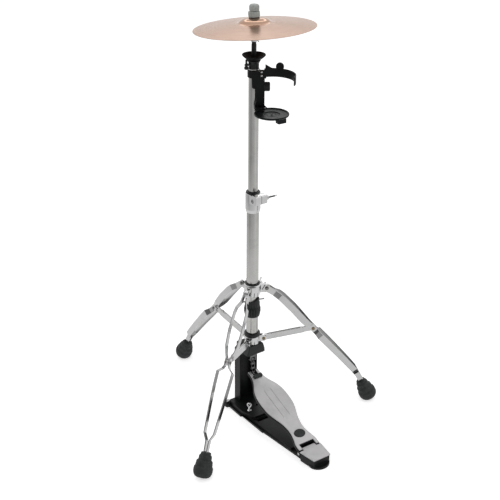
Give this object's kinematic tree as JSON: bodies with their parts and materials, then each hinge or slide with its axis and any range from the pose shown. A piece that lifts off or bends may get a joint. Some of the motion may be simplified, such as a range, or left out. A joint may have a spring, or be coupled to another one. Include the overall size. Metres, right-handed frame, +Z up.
{
  "type": "hi-hat stand with cymbal",
  "caption": "Pedal-operated hi-hat stand with folding tripod legs, footboard and chain, height-adjustable tubes, a top cymbal, an open seat cup and a clamp-on bottle holder.",
  "frame": {"origin": "on the floor, on the axis of the stand tubes", "axes": "+Z up along the tubes; -Y along the pedal towards the heel; +X to the side of the height clamp wing nut"},
  "size_m": [0.5401, 0.5955, 0.9807],
  "materials": {
    "chrome": "polished chrome plate",
    "satin_steel": "satin plated pressed steel",
    "steel": "bright drawn steel",
    "brass": "dull yellow passivated rivet",
    "bronze": "brilliant rose bronze with fine lathe lines",
    "black_metal": "black powder coat",
    "black_plastic": "moulded black nylon",
    "rubber": "matt black ribbed rubber",
    "felt": "pressed grey felt"
  },
  "bodies": {
    "base": {"base_plate": "black_metal", "tower": "black_metal", "tower_cap": "black_plastic", "lower_tube": "chrome", "lower_ring": "black_plastic", "clamp_body": "chrome", "clamp_bush": "black_plastic", "clamp_bolt": "steel", "heel_plate": "satin_steel", "hinge_pin": "steel", "return_spring": "steel"},
    "spur_l": {"spur_left": "steel"},
    "spur_r": {"spur_right": "steel"},
    "base_bolt": {"base_wing_bolt": "chrome"},
    "clamp_nut": {"clamp_wing_nut": "chrome"},
    "dial": {"tension_dial": "black_plastic"},
    "seat": {"spring_seat": "steel"},
    "strut_carrier": {"strut_collar": "chrome"},
    "leg_carrier": {"leg_collar": "chrome", "leg_collar_ring": "black_plastic", "leg_front_pin": "brass", "leg_right_pin": "brass", "leg_left_pin": "brass"},
    "collar_screw": {"leg_collar_screw": "chrome"},
    "rod": {"pull_rod": "steel", "rod_clevis": "chrome", "clutch_sleeve": "black_metal", "clutch_body": "chrome", "top_nut": "felt"},
    "chain": {"chain_link_1": "steel", "chain_link_2": "steel", "chain_link_3": "steel"},
    "footboard": {"footboard_plate": "satin_steel", "footboard_tray": "black_metal", "toe_pad": "rubber"},
    "clutch_wing": {"clutch_screw": "chrome"},
    "cymbal_mount": {"felt_upper": "felt", "felt_lower": "felt"},
    "cymbal_sheet": {"cymbal": "bronze"},
    "upper": {"upper_tube": "chrome", "cup_base": "black_plastic"},
    "cup": {"seat_cup": "black_plastic"},
    "tilt": {"tilt_screw": "black_plastic"},
    "holder": {"holder_bracket": "black_metal", "holder_arm": "black_metal"},
    "holder_grip": {"holder_knob": "black_plastic"},
    "dish": {"holder_dish": "black_metal"},
    "leg_front": {"leg_front_strap_a": "satin_steel", "leg_front_strap_b": "satin_steel", "leg_front_foot": "rubber"},
    "brace_front": {"leg_front_strut": "satin_steel"},
    "leg_right": {"leg_right_strap_a": "satin_steel", "leg_right_strap_b": "satin_steel", "leg_right_foot": "rubber"},
    "brace_right": {"leg_right_strut": "satin_steel"},
    "leg_left": {"leg_left_strap_a": "satin_steel", "leg_left_strap_b": "satin_steel", "leg_left_foot": "rubber"},
    "brace_left": {"leg_left_strut": "satin_steel"}
  },
  "joints": [
    {"name": "pull_rod_slide", "type": "slide", "parent": "base", "child": "rod", "axis": [0, 0, -1], "range_m": [0, 0.03], "stiffness_N_per_m": 1000, "springref_m": -0.02, "deforming": ["return_spring"]},
    {"name": "pedal_hinge", "type": "hinge", "parent": "base", "child": "footboard", "pos_m": [0, -0.229, 0.017], "axis": [-1, 0, 0], "range_deg": [0, 8]},
    {"name": "chain_swing", "type": "hinge", "parent": "rod", "child": "chain", "pos_m": [0, 0, 0.1385], "axis": [1, 0, 0], "range_deg": [0, 15]},
    {"name": "cymbal_rock", "type": "hinge", "parent": "rod", "child": "cymbal_mount", "pos_m": [0, 0, 0.9551], "axis": [1, 0, 0], "range_deg": [-1.5, 1.5], "stiffness_Nm_per_rad": 1.5},
    {"name": "cymbal_spin", "type": "hinge", "parent": "cymbal_mount", "child": "cymbal_sheet", "pos_m": [0, 0, 0.9551], "axis": [-0.0096, 0.0854, 0.9963], "continuous": true},
    {"name": "clutch_screw_turn", "type": "hinge", "parent": "rod", "child": "clutch_wing", "pos_m": [0, 0, 0.9115], "axis": [0.294, -0.9558, 0], "continuous": true},
    {"name": "upper_tube_slide", "type": "slide", "parent": "base", "child": "upper", "axis": [0, 0, -1], "range_m": [-0.015, 0.09]},
    {"name": "cup_tilt", "type": "hinge", "parent": "upper", "child": "cup", "pos_m": [0, 0, 0.867], "axis": [0.1201, 0.9928, 0], "range_deg": [-4, 4]},
    {"name": "tilt_screw_travel", "type": "slide", "parent": "upper", "child": "tilt", "axis": [0, 0, 1], "range_m": [-0.0013, 0.0013]},
    {"name": "holder_swing", "type": "hinge", "parent": "upper", "child": "holder", "pos_m": [0, 0, 0.838], "axis": [0, 0, 1], "range_deg": [-35, 60]},
    {"name": "holder_knob_turn", "type": "hinge", "parent": "holder", "child": "holder_grip", "pos_m": [0.00527, -0.01587, 0.8124], "axis": [0.8201, -0.5721, 0], "continuous": true},
    {"name": "holder_dish_fold", "type": "hinge", "parent": "holder", "child": "dish", "pos_m": [0.00053, -0.02476, 0.767], "axis": [-0.8201, 0.5721, 0], "range_deg": [0, 88]},
    {"name": "clamp_nut_turn", "type": "hinge", "parent": "base", "child": "clamp_nut", "pos_m": [0.0159, -0.0196, 0.5575], "axis": [1, 0, 0], "continuous": true},
    {"name": "base_bolt_turn", "type": "hinge", "parent": "base", "child": "base_bolt", "pos_m": [-0.027, -0.029, 0.016], "axis": [0, 0, 1], "continuous": true},
    {"name": "spur_left_turn", "type": "hinge", "parent": "base", "child": "spur_l", "pos_m": [-0.046, 0.036, 0.008], "axis": [0, 0, 1], "continuous": true},
    {"name": "spur_right_turn", "type": "hinge", "parent": "base", "child": "spur_r", "pos_m": [0.046, 0.036, 0.008], "axis": [0, 0, 1], "continuous": true},
    {"name": "leg_swivel", "type": "hinge", "parent": "base", "child": "strut_carrier", "pos_m": [0, 0, 0.196], "axis": [0, 0, 1], "range_deg": [-15, 15]},
    {"name": "leg_collar_slide", "type": "slide", "parent": "strut_carrier", "child": "leg_carrier", "axis": [0, 0, 1], "range_m": [0, 0.13]},
    {"name": "leg_front_fold", "type": "hinge", "parent": "leg_carrier", "child": "leg_front", "pos_m": [-0.02713, -0.01789, 0.331], "axis": [0.5505, -0.8348, 0], "range_deg": [0, 28]},
    {"name": "brace_front_fold", "type": "hinge", "parent": "strut_carrier", "child": "brace_front", "pos_m": [-0.02229, -0.0147, 0.197], "axis": [-0.5505, 0.8348, 0], "range_deg": [0, 57.2]},
    {"name": "leg_right_fold", "type": "hinge", "parent": "leg_carrier", "child": "leg_right", "pos_m": [0.02906, -0.01455, 0.331], "axis": [0.4478, 0.8942, 0], "range_deg": [0, 28]},
    {"name": "brace_right_fold", "type": "hinge", "parent": "strut_carrier", "child": "brace_right", "pos_m": [0.02387, -0.01196, 0.197], "axis": [-0.4478, -0.8942, 0], "range_deg": [0, 57.2]},
    {"name": "leg_left_fold", "type": "hinge", "parent": "leg_carrier", "child": "leg_left", "pos_m": [-0.00193, 0.03244, 0.331], "axis": [-0.9982, -0.0593, 0], "range_deg": [0, 28]},
    {"name": "brace_left_fold", "type": "hinge", "parent": "strut_carrier", "child": "brace_left", "pos_m": [-0.00158, 0.02665, 0.197], "axis": [0.9982, 0.0593, 0], "range_deg": [0, 57.2]},
    {"name": "leg_collar_screw_turn", "type": "hinge", "parent": "leg_carrier", "child": "collar_screw", "pos_m": [0.01457, 0.0053, 0.331], "axis": [0.9397, 0.342, 0], "continuous": true},
    {"name": "dial_turn", "type": "hinge", "parent": "base", "child": "dial", "pos_m": [0, 0, 0.28], "axis": [0, 0, -1], "range_deg": [-30, 95]},
    {"name": "seat_lift", "type": "slide", "parent": "base", "child": "seat", "axis": [0, 0, 1], "range_m": [-0.0037, 0.0117], "deforming": ["return_spring"]}
  ],
  "couplings": [
    {"joint": "pedal_hinge", "follows": "pull_rod_slide", "rad_per_m": 4.336},
    {"joint": "chain_swing", "follows": "pull_rod_slide", "rad_per_m": 8.08},
    {"joint": "tilt_screw_travel", "follows": "cup_tilt", "m_per_rad": 0.0175},
    {"joint": "seat_lift", "follows": "dial_turn", "m_per_rad": 0.0070028},
    {"joint": "leg_front_fold", "follows": "leg_collar_slide", "rad_per_m": 3.734},
    {"joint": "brace_front_fold", "follows": "leg_collar_slide", "rad_per_m": 7.608},
    {"joint": "leg_right_fold", "follows": "leg_collar_slide", "rad_per_m": 3.734},
    {"joint": "brace_right_fold", "follows": "leg_collar_slide", "rad_per_m": 7.608},
    {"joint": "leg_left_fold", "follows": "leg_collar_slide", "rad_per_m": 3.734},
    {"joint": "brace_left_fold", "follows": "leg_collar_slide", "rad_per_m": 7.608}
  ]
}
